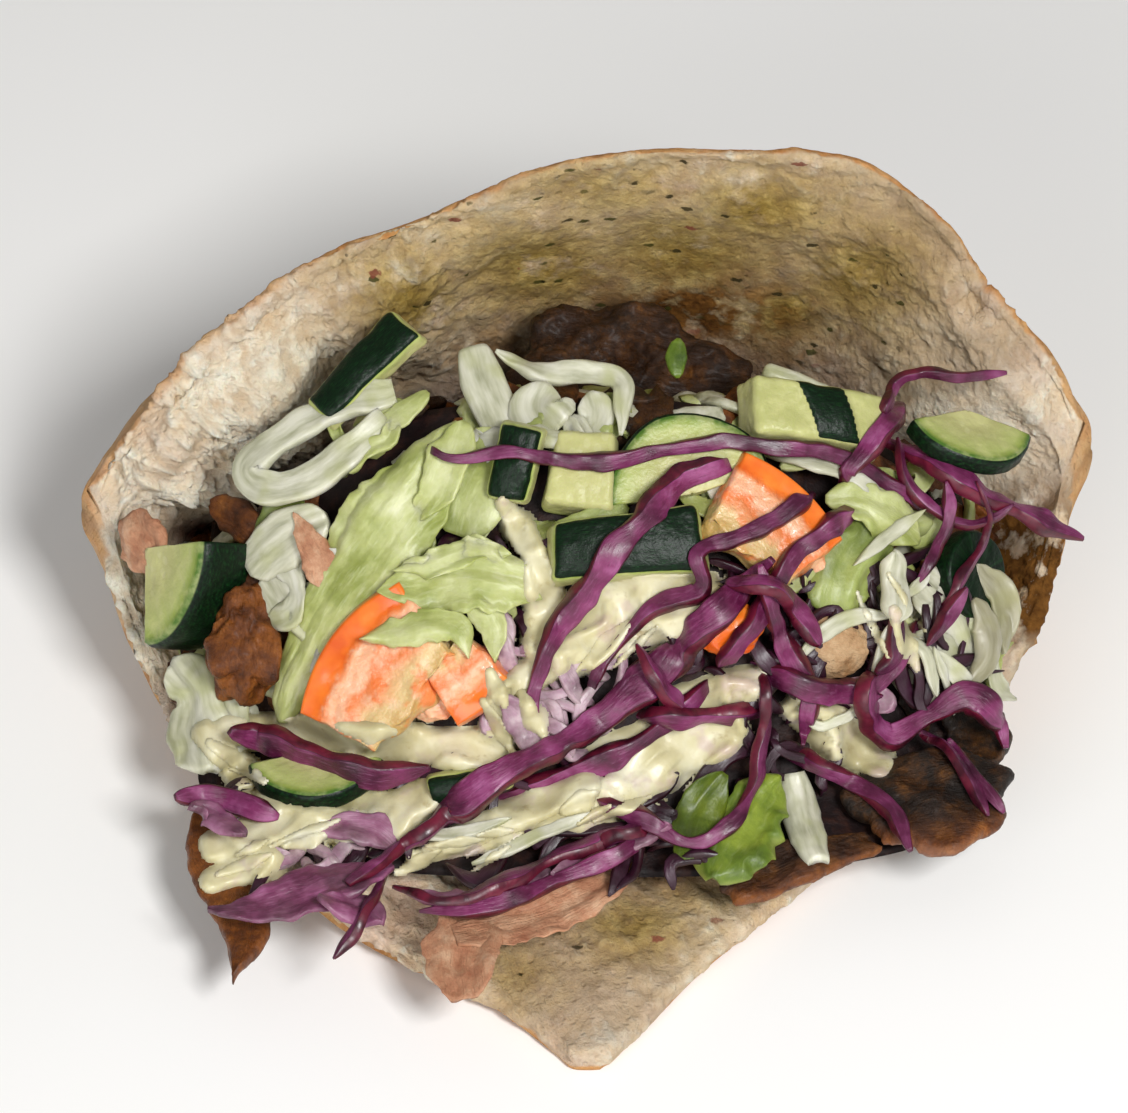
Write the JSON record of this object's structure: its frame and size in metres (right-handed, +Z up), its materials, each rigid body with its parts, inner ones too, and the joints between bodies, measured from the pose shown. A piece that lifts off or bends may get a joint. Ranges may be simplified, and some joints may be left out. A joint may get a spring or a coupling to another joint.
{
  "type": "doner kebab sandwich",
  "caption": "Wedge of flatbread slit open into a pocket, lying on its lower flap with the upper flap raised, heaped with sliced meat, shredded salad, cucumber, tomato and cream sauce.",
  "frame": {"origin": "centre of the sandwich's base, on the table", "axes": "+Z up; -Y towards the point of the bread wedge and the open mouth; +X to the right of someone who looks into the mouth"},
  "size_m": [0.1856, 0.1512, 0.101],
  "materials": {
    "bread": "matte",
    "salad": "satin",
    "cucumber": "satin",
    "tomato": "satin",
    "meat": "satin",
    "lettuce": "satin",
    "onion": "satin",
    "sauce": "glossy"
  },
  "bodies": {
    "root": {"bread": "bread", "salad_heap": "salad", "red_cabbage_strip_left": "salad", "red_cabbage_strip_corner": "salad", "onion_strip_back": "onion", "onion_strip_right": "onion", "onion_stick_back": "onion", "sauce_pool_middle": "sauce", "sauce_pool_front": "sauce", "sauce_pool_left": "sauce", "sauce_drip_corner": "sauce", "sauce_pool_right": "sauce", "tomato_wedge_left": "tomato", "tomato_dice_left": "tomato", "tomato_wedge_right": "tomato", "tomato_dice_right": "tomato", "cucumber_baton_back": "cucumber", "cucumber_quarter_left": "cucumber", "cucumber_stub_middle": "cucumber", "cucumber_half_middle": "cucumber", "cucumber_wedge_middle": "cucumber", "cucumber_baton_middle": "cucumber", "cucumber_half_back": "cucumber", "cucumber_slice_right": "cucumber", "cucumber_slice_front": "cucumber", "cucumber_rind_front": "cucumber", "cucumber_round_right": "cucumber", "onion_fold_back": "onion", "onion_piece_back": "onion", "onion_piece_front": "onion", "onion_layer_left": "onion", "onion_layer_middle": "onion", "onion_layer_right": "onion", "cabbage_flake_back": "onion", "meat_lump_left": "meat", "meat_slice_front": "meat", "meat_slab_right": "meat", "meat_tip_left": "meat", "meat_tan_right": "meat", "meat_strip_middle": "meat", "lettuce_curl_middle": "lettuce", "lettuce_long_left": "lettuce", "lettuce_leaf_back": "lettuce", "lettuce_leaf_right": "lettuce", "lettuce_leaf_front": "lettuce", "lettuce_chip_middle": "lettuce", "meat_slab_back": "meat", "meat_fold_left": "meat", "meat_slab_front": "meat"}
  },
  "joints": []
}
